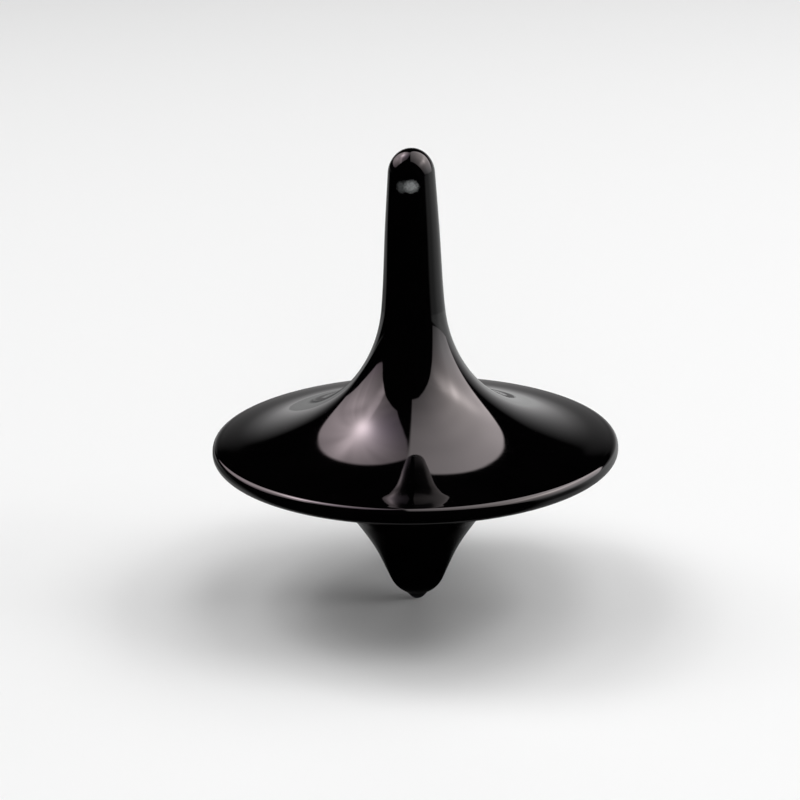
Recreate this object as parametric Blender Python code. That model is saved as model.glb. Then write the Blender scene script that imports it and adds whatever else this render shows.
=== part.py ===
"""Metal finger top: a finger stem with a turned spigot, a flared flywheel, a screw-on nose cone, and a
captive ball tip on a hardened seat. Every piece is turned about one vertical axis.

Units are metres, +Z is up. The origin is the point where the ball touches the table, under the centre of the
top. Profiles are written in millimetres, as radius and height above the table, and scaled once in turned().
"""

import math

import bmesh
import bpy

# ---------------------------------------------------------------- driving dimensions, millimetres
DIAMETER = 30.0          # over the rim
HEIGHT = 34.6            # table to the crown of the stem
Z_RIM = 12.44            # the rim's widest circle above the table

# finger stem
CROWN_R = 1.685          # where the domed crown becomes the shank
CROWN_DROP = 1.72        # crown height over that circle
SHANK_MID_R = 2.018
SHANK_MID_Z = 27.84
NECK_R = 2.323            # joint line between stem and flywheel
NECK_Z = 22.84
NECK_SLOPE = 84.4        # degrees below horizontal, walking outward and down

# flywheel, upper side: (radius, height over the rim plane, slope in degrees)
FLARE_HIGH = (3.235, 7.01, 64.9)
FLARE_MID = (4.555, 4.905, 50.8)
FLARE_LOW = (7.02, 2.81, 31.4)
DISC_TOP = (8.43, 2.06, 24.6)
DISC_IN = (9.93, 1.455, 19.4)
DISC_MID = (11.43, 0.992, 14.5)
DISC_OUT = (12.64, 0.760, 7.3)
LIP_IN = (13.54, 0.670, 4.4)
SHOULDER_TOP = (14.24, 0.600, 7.0)
SHOULDER_OUT = (14.73, 0.408, 50.5)
RIM_DROP = 0.08           # the widest ring lies this far under the rim's reference height
# flywheel, under side
SHOULDER_LOW = (14.50, -0.69, 21.0)
UNDER_OUT = (11.00, -1.63, 15.5)
UNDER_IN = (8.00, -2.76, 25.0)
NOSE_ROOT = (5.18, -5.10, 44.1)

# nose cone
NOSE_HIGH = (4.18, -6.40, 56.0)
NOSE_MID = (2.80, -8.80, 65.7)
NOSE_END_R = 2.17        # spherical end
NOSE_END_Z = -9.80       # centre of that sphere over the rim plane
LIP_OUT_R = 0.90         # rolled lip round the ball
LIP_R = 0.735
LIP_Z = 0.515            # lip edge above the table

# tip
BALL_R = 0.75
BALL_PLAY = 0.05         # running clearance round the ball
SEAT_T = 1.00            # hardened seat behind the ball
SEAT_R = 1.20
CUP_R = 0.55             # shallow cup in the seat
CUP_DEPTH = 0.06

# joints between the pieces
GAP = 0.05               # clearance at every face joint
BORE_R = 1.25            # through the flywheel and into the nose cone
SPIGOT_R = 1.20          # the stem's spigot
CHAMFER = 0.20

FLYWHEEL_SIDES = 64
STEM_SIDES = 40
NOSE_SIDES = 40
SMALL_SIDES = 24

BLACK = (0.010, 0.010, 0.012, 1.0)
STEEL = (0.46, 0.47, 0.49, 1.0)
CERAMIC = (0.018, 0.018, 0.022, 1.0)


# ---------------------------------------------------------------- profile geometry
def sweep(start, end, a0, a1, n):
    """Points of one cubic curve from start to end, leaving at angle a0 and arriving at a1 (degrees in the
    radius-height plane). The handles are those of a circular arc of the same turn. The start is left out."""
    dr, dz = end[0] - start[0], end[1] - start[1]
    turn = math.radians(abs(a1 - a0))
    h = math.hypot(dr, dz) / (3.0 * math.cos(turn / 4.0) ** 2)
    c0 = (start[0] + h * math.cos(math.radians(a0)), start[1] + h * math.sin(math.radians(a0)))
    c1 = (end[0] - h * math.cos(math.radians(a1)), end[1] - h * math.sin(math.radians(a1)))
    out = []
    for i in range(1, n + 1):
        t = i / n
        u = 1.0 - t
        out.append(tuple(u ** 3 * start[k] + 3 * u * u * t * c0[k] + 3 * u * t * t * c1[k] + t ** 3 * end[k]
                         for k in (0, 1)))
    return out


def arc(cr, cz, radius, a0, a1, n):
    """Points on a circle about (cr, cz), from angle a0 to a1 in degrees, the first one left out."""
    out = []
    for i in range(1, n + 1):
        a = math.radians(a0 + (a1 - a0) * i / n)
        out.append((cr + radius * math.cos(a), cz + radius * math.sin(a)))
    return out


def over_rim(station):
    return (station[0], Z_RIM + station[1])


def outward(station):
    """Direction of travel on a face that falls as it goes outward."""
    return -station[2]


def inward(station):
    """Direction of travel on a face that falls as it goes inward."""
    return -180.0 + station[2]


# ---------------------------------------------------------------- building
def material(name, color, metallic, roughness):
    m = bpy.data.materials.new(name)
    m.use_nodes = True
    p = m.node_tree.nodes["Principled BSDF"]
    p.inputs["Base Color"].default_value = color
    p.inputs["Metallic"].default_value = metallic
    p.inputs["Roughness"].default_value = roughness
    return m


def turned(name, profile, sides, closed, origin_z, mat, parent):
    """Spins a profile of (radius, height) points in millimetres about Z. A closed profile is a ring with a
    bore; an open one starts and ends on the axis. The object's origin sits on the axis at origin_z."""
    bm = bmesh.new()
    verts = [bm.verts.new((r * 0.001, 0.0, (z - origin_z) * 0.001)) for r, z in profile]
    pairs = list(zip(verts, verts[1:])) + ([(verts[-1], verts[0])] if closed else [])
    edges = [bm.edges.new(p) for p in pairs]
    bmesh.ops.spin(bm, geom=verts + edges, cent=(0.0, 0.0, 0.0), axis=(0.0, 0.0, 1.0), dvec=(0.0, 0.0, 0.0),
                   angle=2.0 * math.pi, steps=sides, use_merge=True, use_duplicate=False)
    bmesh.ops.remove_doubles(bm, verts=bm.verts, dist=1e-7)
    bmesh.ops.dissolve_degenerate(bm, edges=bm.edges, dist=1e-7)
    bmesh.ops.recalc_face_normals(bm, faces=bm.faces)
    mesh = bpy.data.meshes.new(name)
    bm.to_mesh(mesh)
    bm.free()
    mesh.materials.append(mat)
    mesh.shade_smooth()
    mesh.set_sharp_from_angle(angle=math.radians(32.0))
    ob = bpy.data.objects.new(name, mesh)
    bpy.context.scene.collection.objects.link(ob)
    ob.location = (0.0, 0.0, origin_z * 0.001)
    ob.parent = parent
    return ob


def stem_profile():
    """Crown, shank, the flat shoulder that lands on the flywheel, and the spigot through it."""
    crown = (0.0, HEIGHT)
    shank_top = (CROWN_R, HEIGHT - CROWN_DROP)
    shank_mid = (SHANK_MID_R, SHANK_MID_Z)
    neck = (NECK_R, NECK_Z)
    spigot_end = BALL_R * 2 + GAP + SEAT_T + GAP
    p = [crown]
    p += sweep(crown, shank_top, 0.0, -86.0, 8)
    p += sweep(shank_top, shank_mid, -86.0, -87.0, 3)
    p += sweep(shank_mid, neck, -87.0, -NECK_SLOPE, 4)
    p += [(SPIGOT_R, NECK_Z), (SPIGOT_R, spigot_end + CHAMFER), (SPIGOT_R - CHAMFER, spigot_end), (0.0, spigot_end)]
    return p


def flywheel_profile():
    """Ring profile: down the flare, over the rim, back under to the nose cone's flat, and up the bore."""
    neck = (NECK_R, NECK_Z - GAP)
    tops = (FLARE_HIGH, FLARE_MID, FLARE_LOW, DISC_TOP, DISC_IN, DISC_MID, DISC_OUT, LIP_IN, SHOULDER_TOP,
            SHOULDER_OUT)
    equator = (DIAMETER / 2, Z_RIM - RIM_DROP)
    under = [over_rim(s) for s in (SHOULDER_LOW, UNDER_OUT, UNDER_IN, NOSE_ROOT)]
    p = [neck]
    at, heading = neck, -NECK_SLOPE
    for station, n in zip(tops, (4, 3, 3, 2, 2, 2, 2, 1, 1, 3)):
        p += sweep(at, over_rim(station), heading, outward(station), n)
        at, heading = over_rim(station), outward(station)
    p += sweep(at, equator, heading, -90.0, 4)
    p += sweep(equator, under[0], -90.0, inward(SHOULDER_LOW), 4)
    p += sweep(under[0], under[1], inward(SHOULDER_LOW), inward(UNDER_OUT), 2)
    p += sweep(under[1], under[2], inward(UNDER_OUT), inward(UNDER_IN), 2)
    p += sweep(under[2], under[3], inward(UNDER_IN), inward(NOSE_ROOT), 4)
    p += [(BORE_R, Z_RIM + NOSE_ROOT[1]), (BORE_R, NECK_Z - GAP)]
    return p


def nose_profile():
    """Ring profile: the cone, its rolled lip round the ball, the ball chamber, the seat's shoulder and the bore."""
    root = (NOSE_ROOT[0] - 0.05, Z_RIM + NOSE_ROOT[1] - GAP)
    high, mid = over_rim(NOSE_HIGH), over_rim(NOSE_MID)
    sphere_z = Z_RIM + NOSE_END_Z
    a_on = -24.0
    on = (NOSE_END_R * math.cos(math.radians(a_on)), sphere_z + NOSE_END_R * math.sin(math.radians(a_on)))
    a_off = -math.degrees(math.acos(LIP_OUT_R / NOSE_END_R))
    seat_floor = 2 * BALL_R                      # the seat's lower face sits GAP over this shoulder
    chamber = BALL_R + BALL_PLAY
    lip_a = -math.degrees(math.acos(LIP_R / chamber))
    p = [root]
    p += sweep(root, high, inward(NOSE_ROOT), inward(NOSE_HIGH), 3)
    p += sweep(high, mid, inward(NOSE_HIGH), inward(NOSE_MID), 3)
    p += sweep(mid, on, inward(NOSE_MID), -90.0 + a_on, 2)
    p += arc(0.0, sphere_z, NOSE_END_R, a_on, a_off, 4)
    p += [(LIP_R + 0.03, LIP_Z), (LIP_R, LIP_Z)]
    p += arc(0.0, BALL_R, chamber, lip_a, 0.0, 2)
    p += [(chamber, seat_floor), (BORE_R, seat_floor), (BORE_R, Z_RIM + NOSE_ROOT[1] - GAP)]
    return p


def seat_profile():
    """A hardened disc with a shallow cup for the ball."""
    low = 2 * BALL_R + GAP
    top = low + SEAT_T
    return [(0.0, top), (SEAT_R - CHAMFER, top), (SEAT_R, top - CHAMFER), (SEAT_R, low),
            (CUP_R, low), (CUP_R * 0.5, low + CUP_DEPTH * 0.75), (0.0, low + CUP_DEPTH)]


def ball_profile():
    return [(0.0, 2 * BALL_R)] + arc(0.0, BALL_R, BALL_R, 90.0, -90.0, 12)[:-1] + [(0.0, 0.0)]


def build():
    for ob in list(bpy.data.objects):
        bpy.data.objects.remove(ob, do_unlink=True)
    top = bpy.data.objects.new("spinning_top", None)       # on the spin axis
    bpy.context.scene.collection.objects.link(top)

    black = material("black_gloss", BLACK, 0.0, 0.06)
    black_nose = material("black_gloss_nose", BLACK, 0.0, 0.06)
    black_stem = material("black_gloss_stem", BLACK, 0.0, 0.06)
    steel = material("hardened_steel", STEEL, 1.0, 0.25)
    ceramic = material("black_ceramic", CERAMIC, 0.0, 0.10)

    turned("stem", stem_profile(), STEM_SIDES, False, NECK_Z, black_stem, top)
    turned("flywheel", flywheel_profile(), FLYWHEEL_SIDES, True, Z_RIM, black, top)
    turned("nose_cone", nose_profile(), NOSE_SIDES, True, Z_RIM + NOSE_ROOT[1], black_nose, top)
    turned("ball_seat", seat_profile(), SMALL_SIDES, False, 2 * BALL_R, steel, top)
    turned("tip_ball", ball_profile(), SMALL_SIDES, False, BALL_R, ceramic, None)


build()
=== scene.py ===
"""Looks for the finger top: finely turned black-gloss pieces around the CAD frame, under two soft boxes on a
pale sweep. Everything is in the row frame, in metres."""
import math

import bpy
import numpy as np
from mathutils import Matrix, Vector


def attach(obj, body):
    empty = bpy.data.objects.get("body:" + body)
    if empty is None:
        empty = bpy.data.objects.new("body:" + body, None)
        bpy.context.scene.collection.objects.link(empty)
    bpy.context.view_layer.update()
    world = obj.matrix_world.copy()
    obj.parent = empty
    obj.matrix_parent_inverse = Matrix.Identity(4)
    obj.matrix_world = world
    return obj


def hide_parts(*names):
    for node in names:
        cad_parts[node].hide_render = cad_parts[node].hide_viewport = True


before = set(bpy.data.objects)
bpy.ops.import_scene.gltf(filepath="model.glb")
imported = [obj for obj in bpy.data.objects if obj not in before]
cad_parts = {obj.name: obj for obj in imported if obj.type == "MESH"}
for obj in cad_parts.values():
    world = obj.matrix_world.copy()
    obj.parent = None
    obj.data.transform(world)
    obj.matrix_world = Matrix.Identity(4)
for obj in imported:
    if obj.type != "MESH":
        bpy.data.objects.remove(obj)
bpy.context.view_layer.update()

# ------------------------------------------------------------------ the turned profile, millimetres (as the CAD)
DIAMETER = 30.0
HEIGHT = 34.6
Z_RIM = 12.44
CROWN_R = 1.685
CROWN_DROP = 1.72
SHANK_MID_R = 2.018
SHANK_MID_Z = 27.84
NECK_R = 2.323
NECK_Z = 22.84
NECK_SLOPE = 84.4
FLARE_HIGH = (3.235, 7.01, 64.9)
FLARE_MID = (4.555, 4.905, 50.8)
FLARE_LOW = (7.02, 2.81, 31.4)
DISC_TOP = (8.43, 2.06, 24.6)
DISC_IN = (9.93, 1.455, 19.4)
DISC_MID = (11.43, 0.992, 14.5)
DISC_OUT = (12.64, 0.760, 7.3)
LIP_IN = (13.54, 0.680, 4.6)            # inside this ring the band is within 0.05 mm of the CAD's; the shoulder outside it stands up to about 0.12 mm proud
SHOULDER_TOP = (14.33, 0.606, 7.0)
SHOULDER_OUT = (14.862, 0.442, 49.5)
RIM_DROP = 0.08
SHOULDER_LOW = (14.50, -0.69, 21.0)
UNDER_OUT = (11.00, -1.63, 15.5)
UNDER_IN = (8.00, -2.76, 25.0)
NOSE_ROOT = (5.18, -5.10, 44.1)
NOSE_HIGH = (4.18, -6.40, 56.0)
NOSE_MID = (2.80, -8.80, 65.7)
NOSE_END_R = 2.17
NOSE_END_Z = -9.80
LIP_OUT_R = 0.90
LIP_R = 0.735
LIP_Z = 0.515
BALL_R = 0.75
BALL_PLAY = 0.05
SEAT_T = 1.00
SEAT_R = 1.20
CUP_R = 0.55
CUP_DEPTH = 0.06
GAP = 0.05
BORE_R = 1.25
SPIGOT_R = 1.20
CHAMFER = 0.20
SEAM = 0.004             # the neck joint is lapped shut, so only a hairline is left of the clearance
NOSE_SEAM = 0.012
PATCH_X, PATCH_Z = -0.10, 32.21
SIDES = 512


def sweep(start, end, a0, a1, n):
    dr, dz = end[0] - start[0], end[1] - start[1]
    turn = math.radians(abs(a1 - a0))
    h = math.hypot(dr, dz) / (3.0 * math.cos(turn / 4.0) ** 2)
    c0 = (start[0] + h * math.cos(math.radians(a0)), start[1] + h * math.sin(math.radians(a0)))
    c1 = (end[0] - h * math.cos(math.radians(a1)), end[1] - h * math.sin(math.radians(a1)))
    out = []
    for i in range(1, n + 1):
        t = i / n
        u = 1.0 - t
        out.append(tuple(u ** 3 * start[k] + 3 * u * u * t * c0[k] + 3 * u * t * t * c1[k] + t ** 3 * end[k]
                         for k in (0, 1)))
    return out


def arc(cr, cz, radius, a0, a1, n):
    out = []
    for i in range(1, n + 1):
        a = math.radians(a0 + (a1 - a0) * i / n)
        out.append((cr + radius * math.cos(a), cz + radius * math.sin(a)))
    return out


def over_rim(station):
    return (station[0], Z_RIM + station[1])


def outward(station):
    return -station[2]


def inward(station):
    return -180.0 + station[2]


def stem_profile():
    crown = (0.0, HEIGHT)
    shank_top = (CROWN_R, HEIGHT - CROWN_DROP)
    shank_mid = (SHANK_MID_R, SHANK_MID_Z)
    neck = (NECK_R, NECK_Z)
    spigot_end = BALL_R * 2 + GAP + SEAT_T + GAP
    p = [crown]
    p += sweep(crown, shank_top, 0.0, -86.0, 48)
    p += sweep(shank_top, shank_mid, -86.0, -87.0, 20)
    p += sweep(shank_mid, neck, -87.0, -NECK_SLOPE, 24)
    p += [(SPIGOT_R, NECK_Z), (SPIGOT_R, spigot_end + CHAMFER), (SPIGOT_R - CHAMFER, spigot_end), (0.0, spigot_end)]
    return p, False


def flywheel_profile():
    neck = (NECK_R, NECK_Z - SEAM)
    tops = (FLARE_HIGH, FLARE_MID, FLARE_LOW, DISC_TOP, DISC_IN, DISC_MID, DISC_OUT, LIP_IN, SHOULDER_TOP,
            SHOULDER_OUT)
    equator = (DIAMETER / 2, Z_RIM - RIM_DROP)
    under = [over_rim(s) for s in (SHOULDER_LOW, UNDER_OUT, UNDER_IN, NOSE_ROOT)]
    p = [neck]
    at, heading = neck, -NECK_SLOPE
    for station, n in zip(tops, (26, 16, 14, 8, 9, 9, 8, 6, 6, 18)):
        p += sweep(at, over_rim(station), heading, outward(station), n)
        at, heading = over_rim(station), outward(station)
    p += sweep(at, equator, heading, -90.0, 18)
    p += sweep(equator, under[0], -90.0, inward(SHOULDER_LOW), 20)
    p += sweep(under[0], under[1], inward(SHOULDER_LOW), inward(UNDER_OUT), 12)
    p += sweep(under[1], under[2], inward(UNDER_OUT), inward(UNDER_IN), 10)
    p += sweep(under[2], under[3], inward(UNDER_IN), inward(NOSE_ROOT), 14)
    p += [(BORE_R, Z_RIM + NOSE_ROOT[1]), (BORE_R, NECK_Z - SEAM)]
    return p, True


def nose_profile():
    root = (NOSE_ROOT[0], Z_RIM + NOSE_ROOT[1] - NOSE_SEAM)
    high, mid = over_rim(NOSE_HIGH), over_rim(NOSE_MID)
    sphere_z = Z_RIM + NOSE_END_Z
    a_on = -24.0
    on = (NOSE_END_R * math.cos(math.radians(a_on)), sphere_z + NOSE_END_R * math.sin(math.radians(a_on)))
    a_off = -math.degrees(math.acos(LIP_OUT_R / NOSE_END_R))
    seat_floor = 2 * BALL_R
    chamber = BALL_R + BALL_PLAY
    lip_a = -math.degrees(math.acos(LIP_R / chamber))
    p = [root]
    p += sweep(root, high, inward(NOSE_ROOT), inward(NOSE_HIGH), 24)
    p += sweep(high, mid, inward(NOSE_HIGH), inward(NOSE_MID), 24)
    p += sweep(mid, on, inward(NOSE_MID), -90.0 + a_on, 14)
    p += arc(0.0, sphere_z, NOSE_END_R, a_on, a_off, 32)
    p += [(LIP_R + 0.055, LIP_Z + 0.012), (LIP_R + 0.025, LIP_Z), (LIP_R, LIP_Z + 0.006)]
    p += arc(0.0, BALL_R, chamber, lip_a, 0.0, 16)
    p += [(chamber, seat_floor), (BORE_R, seat_floor), (BORE_R, Z_RIM + NOSE_ROOT[1] - NOSE_SEAM)]
    return p, True


def seat_profile():
    low = 2 * BALL_R + GAP
    top = low + SEAT_T
    p = [(0.0, top), (SEAT_R - CHAMFER, top), (SEAT_R, top - CHAMFER), (SEAT_R, low), (CUP_R, low)]
    for i in range(1, 13):
        r = CUP_R * (1 - i / 12)
        p.append((r, low + CUP_DEPTH * (1 - (r / CUP_R) ** 2)))
    return p, False


def ball_profile():
    return [(0.0, 2 * BALL_R)] + arc(0.0, BALL_R, BALL_R, 90.0, -90.0, 96)[:-1] + [(0.0, 0.0)], False


def lathe(name, profile, sides):
    """A closed mesh of revolution in metres. Open profiles start and end on the axis; closed ones are rings."""
    pts, ring = profile
    verts, faces = [], []
    start = []
    for r, z in pts:
        start.append(len(verts))
        if r < 1e-9:
            verts.append((0.0, 0.0, z * 1e-3))
        else:
            for k in range(sides):
                a = 2 * math.pi * k / sides
                verts.append((r * 1e-3 * math.cos(a), r * 1e-3 * math.sin(a), z * 1e-3))
    pairs = list(zip(range(len(pts) - 1), range(1, len(pts)))) + ([(len(pts) - 1, 0)] if ring else [])
    for i, j in pairs:
        a_pole, b_pole = pts[i][0] < 1e-9, pts[j][0] < 1e-9
        for k in range(sides):
            k2 = (k + 1) % sides
            if a_pole and b_pole:
                continue
            if a_pole:
                faces.append((start[i], start[j] + k, start[j] + k2))
            elif b_pole:
                faces.append((start[i] + k, start[j], start[i] + k2))
            else:
                faces.append((start[i] + k, start[j] + k, start[j] + k2, start[i] + k2))
    me = bpy.data.meshes.new(name)
    me.from_pydata(verts, [], faces)
    me.validate()
    me.shade_smooth()
    me.set_sharp_from_angle(angle=math.radians(30.0))
    ob = bpy.data.objects.new(name, me)
    bpy.context.scene.collection.objects.link(ob)
    return ob


# ------------------------------------------------------------------ materials
def new_material(name):
    m = bpy.data.materials.new(name)
    m.use_nodes = True
    nt = m.node_tree
    return m, nt, nt.nodes["Principled BSDF"]


def noise(nt, vector, scale, detail=4.0, rough=0.5):
    n = nt.nodes.new("ShaderNodeTexNoise")
    n.inputs["Scale"].default_value = scale
    n.inputs["Detail"].default_value = detail
    n.inputs["Roughness"].default_value = rough
    nt.links.new(vector, n.inputs["Vector"])
    return n.outputs["Fac"]


def map_range(nt, value, a, b, c, d):
    n = nt.nodes.new("ShaderNodeMapRange")
    for key, v in (("From Min", a), ("From Max", b), ("To Min", c), ("To Max", d)):
        n.inputs[key].default_value = v
    nt.links.new(value, n.inputs["Value"])
    return n.outputs["Result"]


def math_node(nt, op, a, b=None):
    n = nt.nodes.new("ShaderNodeMath")
    n.operation = op
    for i, v in enumerate((a, b)):
        if v is None:
            continue
        if isinstance(v, (int, float)):
            n.inputs[i].default_value = v
        else:
            nt.links.new(v, n.inputs[i])
    return n.outputs[0]


def black_gloss(name, base=(0.0005, 0.00045, 0.0005), turn_scale=1.0, ior=1.5):
    """Hard black gloss on turned metal: near-black body, a clear hard surface, very faint lathe rings and a
    slight unevenness of the polish."""
    m, nt, p = new_material(name)
    co = nt.nodes.new("ShaderNodeTexCoord").outputs["Object"]
    # colour: black with a faint warm-cool drift
    ramp = nt.nodes.new("ShaderNodeValToRGB")
    ramp.color_ramp.elements[0].color = (base[0] * 0.7, base[1] * 0.7, base[2] * 0.75, 1)
    ramp.color_ramp.elements[0].position = 0.35
    ramp.color_ramp.elements[1].color = (base[0] * 1.3, base[1] * 1.2, base[2] * 1.3, 1)
    ramp.color_ramp.elements[1].position = 0.65
    nt.links.new(noise(nt, co, 260.0, 3.0), ramp.inputs["Fac"])
    nt.links.new(ramp.outputs["Color"], p.inputs["Base Color"])
    # roughness: polish haze in slow patches and fine specks
    slow = map_range(nt, noise(nt, co, 180.0, 3.0), 0.35, 0.65, 0.028, 0.050)
    fine = map_range(nt, noise(nt, co, 5200.0, 2.0), 0.45, 0.75, 0.0, 0.018)
    nt.links.new(math_node(nt, "ADD", slow, fine), p.inputs["Roughness"])
    # relief: rings left by the lathe under the gloss, and a soft waviness of the lacquer
    sep = nt.nodes.new("ShaderNodeSeparateXYZ")
    nt.links.new(co, sep.inputs[0])
    r2 = math_node(nt, "ADD", math_node(nt, "MULTIPLY", sep.outputs["X"], sep.outputs["X"]),
                   math_node(nt, "MULTIPLY", sep.outputs["Y"], sep.outputs["Y"]))
    radius = math_node(nt, "SQRT", r2)
    ring_co = nt.nodes.new("ShaderNodeCombineXYZ")
    nt.links.new(radius, ring_co.inputs["X"])
    nt.links.new(sep.outputs["Z"], ring_co.inputs["Y"])
    rings = noise(nt, ring_co.outputs[0], 2600.0 * turn_scale, 2.0)
    wave = noise(nt, co, 420.0, 2.0)
    h = math_node(nt, "ADD", math_node(nt, "MULTIPLY", rings, 0.16), math_node(nt, "MULTIPLY", wave, 1.0))
    bump = nt.nodes.new("ShaderNodeBump")
    bump.inputs["Strength"].default_value = 0.35
    bump.inputs["Distance"].default_value = 0.0000035
    nt.links.new(h, bump.inputs["Height"])
    nt.links.new(bump.outputs["Normal"], p.inputs["Normal"])
    p.inputs["Metallic"].default_value = 0.0
    p.inputs["IOR"].default_value = ior
    return m, nt, p, co


def painted_reflection_patch(nt, p, co):
    """A small ragged patch near the crown, on the front of the grip, painted a dull grey with a rougher gloss: a
    painted reflection that stands in for a small light reflection there.
    """
    sep = nt.nodes.new("ShaderNodeSeparateXYZ")
    nt.links.new(co, sep.inputs[0])
    rag = noise(nt, co, 5200.0, 5.0, 0.7)
    grain = noise(nt, co, 9000.0, 3.0, 0.6)

    def oval(x, z, half_w, half_h):
        dx = math_node(nt, "DIVIDE", math_node(nt, "SUBTRACT", sep.outputs["X"], x * 1e-3), half_w * 1e-3)
        dz = math_node(nt, "DIVIDE", math_node(nt, "SUBTRACT", sep.outputs["Z"], z * 1e-3), half_h * 1e-3)
        q = math_node(nt, "SQRT", math_node(nt, "ADD", math_node(nt, "MULTIPLY", dx, dx), math_node(nt, "MULTIPLY", dz, dz)))
        q = math_node(nt, "ADD", q, math_node(nt, "MULTIPLY", math_node(nt, "SUBTRACT", rag, 0.5), 1.0))
        return map_range(nt, q, 0.50, 1.16, 1.0, 0.0)

    # painted reflection: the mask of the grey patch that stands in for a small reflection on the grip
    painted_reflection_mask = math_node(nt, "MAXIMUM", oval(PATCH_X + 0.04, PATCH_Z, 0.56, 0.45),
                     math_node(nt, "MULTIPLY", oval(PATCH_X - 0.58, PATCH_Z - 0.06, 0.36, 0.42), 0.30))
    painted_reflection_mask = math_node(nt, "MULTIPLY", painted_reflection_mask, map_range(nt, sep.outputs["Y"], -0.0006, -0.0002, 1.0, 0.0))
    painted_reflection_mask = math_node(nt, "MULTIPLY", painted_reflection_mask, map_range(nt, grain, 0.30, 0.70, 0.55, 1.0))
    # painted reflection: inside the mask the base colour turns grey and the gloss rougher
    for socket, painted_reflection_value in (("Base Color", (0.235, 0.245, 0.245, 1)), ("Roughness", 0.38)):
        polished = p.inputs[socket].links[0].from_socket
        mix = nt.nodes.new("ShaderNodeMix")
        mix.data_type = "RGBA" if socket == "Base Color" else "FLOAT"
        a, b = [[i for i in mix.inputs if i.name == key and i.type == ("RGBA" if socket == "Base Color" else "VALUE")][0]
                for key in ("A", "B")]
        out = [o for o in mix.outputs if o.type == a.type][0]
        nt.links.new(painted_reflection_mask, mix.inputs[0])
        nt.links.new(polished, a)
        b.default_value = painted_reflection_value
        nt.links.new(out, p.inputs[socket])


def steel():
    m, nt, p = new_material("hardened_steel")
    co = nt.nodes.new("ShaderNodeTexCoord").outputs["Object"]
    ramp = nt.nodes.new("ShaderNodeValToRGB")
    ramp.color_ramp.elements[0].color = (0.38, 0.39, 0.42, 1)
    ramp.color_ramp.elements[1].color = (0.56, 0.56, 0.57, 1)
    nt.links.new(noise(nt, co, 900.0, 4.0), ramp.inputs["Fac"])
    nt.links.new(ramp.outputs["Color"], p.inputs["Base Color"])
    nt.links.new(map_range(nt, noise(nt, co, 3000.0, 3.0), 0.3, 0.7, 0.16, 0.30), p.inputs["Roughness"])
    p.inputs["Metallic"].default_value = 1.0
    return m


def ceramic():
    m, nt, p = new_material("black_ceramic")
    co = nt.nodes.new("ShaderNodeTexCoord").outputs["Object"]
    ramp = nt.nodes.new("ShaderNodeValToRGB")
    ramp.color_ramp.elements[0].color = (0.004, 0.004, 0.005, 1)
    ramp.color_ramp.elements[1].color = (0.010, 0.010, 0.012, 1)
    nt.links.new(noise(nt, co, 2400.0, 3.0), ramp.inputs["Fac"])
    nt.links.new(ramp.outputs["Color"], p.inputs["Base Color"])
    nt.links.new(map_range(nt, noise(nt, co, 4000.0, 3.0), 0.35, 0.65, 0.07, 0.13), p.inputs["Roughness"])
    p.inputs["IOR"].default_value = 1.6
    return m


# ------------------------------------------------------------------ pieces
stem = lathe("top_stem", stem_profile(), SIDES)
wheel = lathe("top_flywheel", flywheel_profile(), SIDES)
nose = lathe("top_nose_cone", nose_profile(), SIDES)
seat = lathe("top_ball_seat", seat_profile(), 96)
ball = lathe("top_tip_ball", ball_profile(), 192)

stem_gloss, stem_nodes, stem_shader, stem_co = black_gloss("gloss_stem", ior=1.38)
# the stem carries a painted reflection: a grey patch near the crown
painted_reflection_patch(stem_nodes, stem_shader, stem_co)
stem.data.materials.append(stem_gloss)
wheel.data.materials.append(black_gloss("gloss_flywheel")[0])
nose.data.materials.append(black_gloss("gloss_nose")[0])
seat.data.materials.append(steel())
ball.data.materials.append(ceramic())

for piece, body, node, slot in ((stem, "top", "stem", "black_gloss"), (wheel, "top", "flywheel", "black_gloss"),
                                (nose, "top", "nose_cone", "black_gloss"), (seat, "top", "ball_seat", "hardened_steel"),
                                (ball, "tip", "tip_ball", "black_ceramic")):
    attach(piece, body)
    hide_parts(node)

# ------------------------------------------------------------------ studio: floor
TOP_MID = Vector((0.0, 0.0, Z_RIM * 1e-3))


def stage_mesh(name, verts, faces, mat, smooth=True):
    me = bpy.data.meshes.new(name)
    me.from_pydata(verts, [], faces)
    if smooth:
        me.shade_smooth()
    ob = bpy.data.objects.new(name, me)
    bpy.context.scene.collection.objects.link(ob)
    me.materials.append(mat)
    return ob


def floor_material():
    m, nt, p = new_material("paper_sweep")
    p.inputs["Base Color"].default_value = (0.86, 0.86, 0.86, 1)
    p.inputs["Roughness"].default_value = 0.9
    p.inputs["Specular IOR Level"].default_value = 0.0
    # far from the lamps the sweep carries a glow of its own, so that it stays pale out to its edges
    co = nt.nodes.new("ShaderNodeTexCoord").outputs["Object"]
    length = nt.nodes.new("ShaderNodeVectorMath")
    length.operation = "LENGTH"
    nt.links.new(co, length.inputs[0])
    nt.links.new(map_range(nt, length.outputs["Value"], 0.45, 1.30, 0.0, 0.78), p.inputs["Emission Strength"])
    p.inputs["Emission Color"].default_value = (1.0, 1.0, 1.0, 1)
    m.cycles.emission_sampling = "NONE"
    return m


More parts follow.
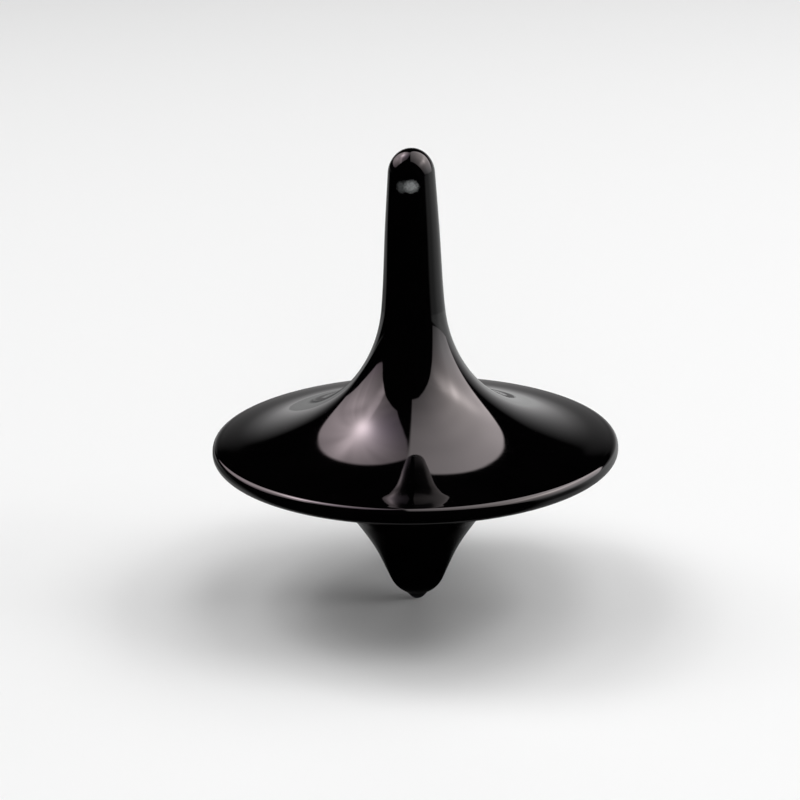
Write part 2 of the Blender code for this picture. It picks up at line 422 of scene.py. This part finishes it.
def make_floor(mat):
    """A paper sweep: flat under and round the top, rising far behind it. The rising part lights nothing."""
    half, y_front, y_turn, rad = 2.2, -2.2, 1.15, 0.6
    stage_mesh("paper_floor", [(-half, y_front, 0), (half, y_front, 0), (half, y_turn, 0), (-half, y_turn, 0)],
               [(0, 1, 2, 3)], mat).visible_glossy = False
    prof = [(y_turn, 0.0)]
    for i in range(1, 33):
        a = math.radians(90.0 * i / 32)
        prof.append((y_turn + rad * math.sin(a), rad * (1 - math.cos(a))))
    prof.append((y_turn + rad, 1.6))
    verts = [(x, y, z) for y, z in prof for x in (-half, half)]
    faces = [(2 * i, 2 * i + 1, 2 * i + 3, 2 * i + 2) for i in range(len(prof) - 1)]
    rise = stage_mesh("paper_rise", verts, faces, mat)
    rise.visible_glossy = rise.visible_diffuse = rise.visible_shadow = False


make_floor(floor_material())

# ------------------------------------------------------------------ studio: what the gloss mirrors
# Directions are mapped on a disc: the zenith in the middle, the horizon at radius 1, +x right, +y behind.


def smooth(a, b, x):
    t = np.clip((x - a) / (b - a), 0.0, 1.0)
    return t * t * (3 - 2 * t)


def inside(u, v, outline):
    """Signed distance to a closed outline, positive inside."""
    d = np.full(u.shape, 1e9)
    odd = np.zeros(u.shape, bool)
    n = len(outline)
    for i in range(n):
        (x0, y0), (x1, y1) = outline[i], outline[(i + 1) % n]
        ex, ey = x1 - x0, y1 - y0
        t = np.clip(((u - x0) * ex + (v - y0) * ey) / (ex * ex + ey * ey), 0, 1)
        d = np.minimum(d, np.hypot(u - x0 - t * ex, v - y0 - t * ey))
        cross = ((y0 > v) != (y1 > v)) & (u < (x1 - x0) * (v - y0) / (y1 - y0 + 1e-15) + x0)
        odd ^= cross
    return np.where(odd, d, -d)


def blob(u, v, cu, cv, su, sv, turn=0.0):
    c, s = math.cos(math.radians(turn)), math.sin(math.radians(turn))
    a = (u - cu) * c + (v - cv) * s
    b = -(u - cu) * s + (v - cv) * c
    return np.exp(-0.5 * ((a / su) ** 2 + (b / sv) ** 2))


LEFT_BOX = [(-0.445, 0.640), (-0.530, 0.555), (-0.585, 0.500), (-0.650, 0.405), (-0.690, 0.320), (-0.728, 0.230),
            (-0.735, 0.130), (-0.725, 0.040), (-0.700, -0.005), (-0.640, -0.050), (-0.550, -0.090),
            (-0.480, -0.118), (-0.400, -0.132), (-0.280, -0.140), (-0.160, -0.125), (-0.105, -0.055),
            (-0.068, 0.000), (-0.035, 0.075), (-0.024, 0.130), (-0.020, 0.195)]
RIGHT_BOX = [(-0.030, -0.265), (-0.022, 0.050), (-0.020, 0.215), (0.030, 0.292), (0.100, 0.328), (0.200, 0.368),
             (0.300, 0.403), (0.400, 0.430), (0.500, 0.447), (0.650, 0.462), (0.800, 0.472), (0.960, 0.470),
             (1.160, 0.300), (1.200, 0.000), (1.100, -0.330), (0.900, -0.385), (0.800, -0.397), (0.700, -0.406),
             (0.600, -0.406), (0.500, -0.396), (0.400, -0.382), (0.300, -0.360), (0.200, -0.335),
             (0.100, -0.302), (0.050, -0.280)]


def left_box(u, v):
    """The left lamp's cloth: a bright face round the bulb, its creases, and a dimmer face past the fold."""
    level = (0.55 + 2.9 * blob(u, v, -0.40, 0.20, 0.17, 0.22)
             + 3.0 * blob(u, v, -0.22, 0.18, 0.085, 0.09)
             + 7.6 * blob(u, v, -0.262, 0.157, 0.042, 0.046)
             + 1.6 * blob(u, v, -0.205, 0.280, 0.055, 0.022, 68.0)
             + 0.5 * blob(u, v, -0.46, 0.22, 0.030, 0.07)
             - 0.5 * blob(u, v, -0.395, 0.25, 0.022, 0.12))
    # the fold running down from the bulb: bright on its left, dropping at once on its right
    d = (u + 0.27) * 0.909 - (v - 0.12) * 0.418
    level = level + 1.9 * np.exp(-0.5 * ((d + 0.045) / 0.05) ** 2) * smooth(0.006, -0.020, d) * smooth(0.15, 0.07, v)
    # folds that fan out from the bulb
    phi, rho = np.arctan2(v - 0.16, u + 0.26), np.hypot(u + 0.26, v - 0.16)
    fan = np.sin(11.0 * phi + 0.6) + 0.6 * np.sin(23.0 * phi + 2.0)
    level = level * (1.0 + 0.055 * fan * smooth(0.06, 0.16, rho) * smooth(0.10, 0.22, v))
    level = level * (1.0 + 0.05 * np.sin(62.0 * (u + 0.6 * v)) * smooth(0.02, -0.05, v))
    cool = 0.14 * blob(u, v, -0.12, 0.00, 0.11, 0.11)
    warm = 0.07 * smooth(-0.58, -0.72, u)
    return level, np.stack([1.19 + warm + 0.3 * cool, np.ones_like(u), 1.05 + cool + warm], -1)


def right_box(u, v):
    """The right lamp's cloth: a long ridge of light with the bulb on it, dimming outward and to the front."""
    across = np.interp(u, [0.0, 0.1, 0.2, 0.3, 0.4, 0.5, 0.6, 0.7, 0.8, 0.9, 1.0, 1.15],
                       [2.05, 2.6, 3.4, 3.9, 4.5, 4.1, 3.55, 3.1, 2.6, 2.0, 1.4, 1.0])
    along = np.interp(v, [-0.42, -0.30, -0.20, -0.10, 0.00, 0.10, 0.40], [0.30, 0.45, 0.60, 0.78, 0.98, 1.03, 0.95])
    level = across * along
    centre = np.interp(v, [-0.30, -0.20, -0.10, 0.00, 0.10, 0.25], [0.41, 0.430, 0.452, 0.474, 0.468, 0.425])
    height = np.interp(v, [-0.36, -0.25, -0.15, 0.05, 0.20, 0.34], [0.1, 1.2, 2.6, 3.0, 2.3, 0.1])
    d = u - centre
    level = level + height * np.exp(-0.5 * (d / np.where(d < 0, 0.040, 0.060)) ** 2)
    level = level + 2.9 * blob(u, v, 0.476, 0.025, 0.042, 0.046)
    # a doubled seam from the bulb to the near edge
    d = (u - 0.452) * 0.823 - (v + 0.069) * 0.568
    seam = np.exp(-0.5 * ((d - 0.007) / 0.004) ** 2) + np.exp(-0.5 * ((d + 0.007) / 0.004) ** 2)
    level = level * (1.0 + 0.07 * seam * smooth(-0.04, -0.09, v))
    # shallow waves in the cloth
    level = level * (1.0 + 0.025 * np.sin(46.0 * u + 9.0 * v) * smooth(0.18, 0.34, v)
                     + 0.02 * np.sin(38.0 * v - 14.0 * u) * smooth(0.42, 0.25, u))
    far = smooth(0.55, 0.95, u)
    return level, np.stack([1.12 - 0.07 * far, np.ones_like(u), 1.02 - 0.03 * blob(u, v, 0.45, -0.05, 0.2, 0.3)], -1)


def surround(dx, dy, dz):
    """Brightness of the studio round the top, as colours, for directions above the floor."""
    k = 1.0 / (1.0 + dz)
    u, v = dx * k, dy * k
    az = np.degrees(np.arctan2(dx, -dy))
    el = np.degrees(np.arcsin(np.clip(dz, -1, 1)))
    rgb = np.zeros(u.shape + (3,)) + 0.0005

    # the pale backdrop low down behind, brightest at the table
    turn = np.where(az < -90.0, az + 360.0, az)
    top = np.interp(turn, [112.0, 127.0, 142.0, 157.0, 180.0, 202.0], [10.0, 13.0, 19.0, 23.5, 22.0, 19.0])
    level = 0.68 * np.clip(1.0 - np.maximum(el, 0.0) / top, 0.0, 1.0)
    level = level * smooth(90.0, 100.0, turn) * smooth(212.0, 198.0, turn)
    rgb += level[..., None] * np.array([1.02, 1.0, 1.01])

    for outline, cloth in ((LEFT_BOX, left_box), (RIGHT_BOX, right_box)):
        d = inside(u, v, outline)
        soft = 0.007 + (0.016 * smooth(0.42, 0.62, u) if cloth is right_box else 0.0)
        cover = smooth(-soft, soft, d)
        level, tint = cloth(u, v)
        rgb = rgb * (1.0 - cover[..., None]) + (cover * level)[..., None] * tint
    return rgb


def glow_material(name, echoes=False):
    m = bpy.data.materials.new(name)
    m.use_nodes = True
    nt = m.node_tree
    nt.nodes.remove(nt.nodes["Principled BSDF"])
    out = nt.nodes["Material Output"]
    em = nt.nodes.new("ShaderNodeEmission")
    at = nt.nodes.new("ShaderNodeAttribute")
    at.attribute_name = "glow"
    nt.links.new(at.outputs["Color"], em.inputs["Color"])
    em.inputs["Strength"].default_value = 1.0
    if echoes:
        # seen by way of two glossy bounces, the glow is dimmed by the amount kept in "echo"
        deep = math_node(nt, "GREATER_THAN", nt.nodes.new("ShaderNodeLightPath").outputs["Glossy Depth"], 1.5)
        dim = nt.nodes.new("ShaderNodeAttribute")
        dim.attribute_name = "echo"
        lost = math_node(nt, "MULTIPLY", deep, math_node(nt, "SUBTRACT", 1.0, dim.outputs["Fac"]))
        nt.links.new(math_node(nt, "SUBTRACT", 1.0, lost), em.inputs["Strength"])
    nt.links.new(em.outputs[0], out.inputs["Surface"])
    m.cycles.emission_sampling = "NONE"
    return m


def only_gloss(ob):
    ob.visible_camera = False
    ob.visible_diffuse = False
    ob.visible_shadow = False
    ob.visible_transmission = False
    ob.visible_volume_scatter = False


def make_surround():
    """Soft boxes and dark room round the top as one shell of coloured glow, from just under the horizon up."""
    n_az, n_el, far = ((900, 300, 2.0))
    rows = [math.radians(-12.0 + 101.7 * i / n_el) for i in range(n_el + 1)]
    azs = np.radians(np.arange(n_az) * 360.0 / n_az)
    dirs = []
    for e in rows:
        dirs.append(np.stack([np.sin(azs) * math.cos(e), -np.cos(azs) * math.cos(e), np.full(n_az, math.sin(e))], -1))
    dirs = np.concatenate(dirs)
    dirs = np.concatenate([dirs, [[0.0, 0.0, 1.0]]])
    verts = dirs * far + np.array(TOP_MID)
    faces = []
    for i in range(n_el):
        for k in range(n_az):
            a, b = i * n_az + k, i * n_az + (k + 1) % n_az
            faces.append((a, b, b + n_az, a + n_az))
    apex = len(verts) - 1
    for k in range(n_az):
        faces.append((n_el * n_az + k, n_el * n_az + (k + 1) % n_az, apex))
    ob = stage_mesh("studio_surround", [tuple(v) for v in verts], faces,
                    glow_material("surround_glow", echoes=True))
    rgb = surround(dirs[:, 0], dirs[:, 1], dirs[:, 2])
    at = ob.data.attributes.new("glow", "FLOAT_COLOR", "POINT")
    at.data.foreach_set("color", np.concatenate([rgb, np.ones((len(rgb), 1))], 1).astype(np.float32).ravel())
    at = ob.data.attributes.new("echo", "FLOAT", "POINT")
    at.data.foreach_set("value", echo(dirs[:, 0], dirs[:, 1], dirs[:, 2]).astype(np.float32))
    only_gloss(ob)
    return ob


def table_glow(x, y):
    """Brightness of the table as the gloss mirrors it, x and y in millimetres: a pale sheet under and behind the
    top, dark past its edges in front and to the left, with the top's own shadow in the middle."""
    r = np.hypot(x, y)
    az = np.degrees(np.arctan2(x, -y))
    level = np.interp(r, [4.0, 8.0, 14.0, 24.0, 32.0, 64.0, 110.0, 300.0], [0.03, 0.12, 0.26, 0.30, 0.43, 0.52, 0.62, 0.72])
    level = level * (1.0 + 0.22 * smooth(50.0, 400.0, r) * blob(az, r * 0, 98.0, 0.0, 16.0, 1.0))
    edge = np.interp(x, [-400.0, -138.0, -75.0, -50.0, -17.0, 0.0, 12.0, 60.0, 400.0],
                     [560.0, 118.0, 30.0, 2.0, -7.0, -11.0, -9.0, -28.0, -170.0])
    width = 4.0 + 0.22 * r
    # something dark stands on the sheet's right front part, and the light under the nose is swallowed
    level = level * (1.0 - smooth(34.0, 50.0, r) * (0.40 + 0.40 * smooth(125.0, 95.0, r)) * smooth(104.0, 82.0, az))
    level = level * (1.0 - smooth(9.0, 5.0, r) * smooth(135.0, 112.0, np.abs(az)))
    return np.maximum(level * smooth(-0.5, 0.5, (y - edge) / width), 0.0005)


def echo(dx, dy, dz):
    """How much of the surround is left where the gloss mirrors its own mirror image."""
    k = 1.0 / (1.0 + dz)
    u, v = dx * k, dy * k
    return 0.5 - 0.40 * smooth(0.06, -0.08, v) * smooth(0.12, 0.22, np.hypot(u, v))


def make_table_glow():
    rr = np.concatenate([[0.0], np.geomspace(2.0, 1900.0, 60)])
    n_az = 240
    azs = np.radians(np.arange(n_az) * 360.0 / n_az)
    verts, faces = [(0.0, 0.0, 0.0)], []
    for r in rr[1:]:
        verts += [(r * math.sin(a) * 1e-3, -r * math.cos(a) * 1e-3, 0.0) for a in azs]
    for k in range(n_az):
        faces.append((0, 1 + (k + 1) % n_az, 1 + k))
    for i in range(len(rr) - 2):
        for k in range(n_az):
            a, b = 1 + i * n_az + k, 1 + i * n_az + (k + 1) % n_az
            faces.append((a, b, b + n_az, a + n_az))
    ob = stage_mesh("table_as_mirrored", verts, faces, glow_material("table_glow"))
    co = np.array(verts) * 1e3
    lv = table_glow(co[:, 0], co[:, 1])
    rgb = np.stack([lv, lv, lv, np.ones_like(lv)], -1)
    at = ob.data.attributes.new("glow", "FLOAT_COLOR", "POINT")
    at.data.foreach_set("color", rgb.astype(np.float32).ravel())
    ob.location.z = -0.00002
    only_gloss(ob)
    return ob


make_surround()
make_table_glow()


# ------------------------------------------------------------------ studio: light on the sweep
def area(name, az, el, dist, w, h, power, color=(1, 1, 1)):
    a, e = math.radians(az), math.radians(el)
    d = Vector((math.sin(a) * math.cos(e), -math.cos(a) * math.cos(e), math.sin(e)))
    li = bpy.data.lights.new(name, "AREA")
    li.shape = "RECTANGLE"
    li.size, li.size_y = w, h
    li.energy = power
    li.color = color
    ob = bpy.data.objects.new(name, li)
    bpy.context.scene.collection.objects.link(ob)
    ob.location = TOP_MID + d * dist
    ob.rotation_euler = (-d).to_track_quat("-Z", "Y").to_euler()
    ob.visible_glossy = False
    ob.visible_camera = False
    return ob


# (azimuth, elevation, watts) of the panels of the light tent; azimuth 0 is the camera's side, 90 its right
for az, el, watts in ((0, 8, 1.81), (30, 65, 0.74), (75, 20, 0.90), (75, 50, 1.46), (90, 8, 1.98), (105, 50, 0.70),
                      (120, 8, 1.04), (120, 78, 1.00), (135, 50, 0.43), (180, 8, 0.83), (240, 65, 1.19),
                      (255, 20, 0.30), (255, 50, 1.03), (300, 65, 0.74)):
    area("panel_%03d_%02d" % (az, el), az, el, 0.80, 0.32, 0.32, watts)

world = bpy.data.worlds.new("studio")
bpy.context.scene.world = world
world.use_nodes = True
wn = world.node_tree
bg = wn.nodes["Background"]
bg.inputs["Color"].default_value = (0.80, 0.81, 0.81, 1)
bg.inputs["Strength"].default_value = 1.0
for kind in ("diffuse", "glossy", "transmission", "scatter"):
    setattr(world.cycles_visibility, kind, False)

# ------------------------------------------------------------------ camera
ELEV, DIST, FOCAL_PX = math.radians(19.6), 148.50, 2000.0
ROLL = math.radians(0.937)
OFF_X, OFF_Y = 14.556, 43.468        # where the rim's centre falls from the frame's centre before the roll, in px of 800

f0 = Vector((0, math.cos(ELEV), -math.sin(ELEV)))
u0 = Vector((0, math.sin(ELEV), math.cos(ELEV)))
axis = (f0 - Vector((1, 0, 0)) * (OFF_X / FOCAL_PX) + u0 * (OFF_Y / FOCAL_PX)).normalized()
right = axis.cross(Vector((0, 0, 1))).normalized()
up = right.cross(axis)
right2 = right * math.cos(ROLL) - up * math.sin(ROLL)
up2 = up * math.cos(ROLL) + right * math.sin(ROLL)
cam_data = bpy.data.cameras.new("camera")
cam_data.sensor_width = 36.0
cam_data.lens = 36.0 * FOCAL_PX / 800.0
cam_data.clip_start, cam_data.clip_end = 0.005, 20.0
cam = bpy.data.objects.new("camera", cam_data)
bpy.context.scene.collection.objects.link(cam)
rot = Matrix((right2, up2, -axis)).transposed()
cam.matrix_world = Matrix.Translation(TOP_MID - f0 * (DIST * 1e-3)) @ rot.to_4x4()
bpy.context.scene.camera = cam

vs = bpy.context.scene.view_settings
vs.view_transform = "Standard"
vs.look = "None"
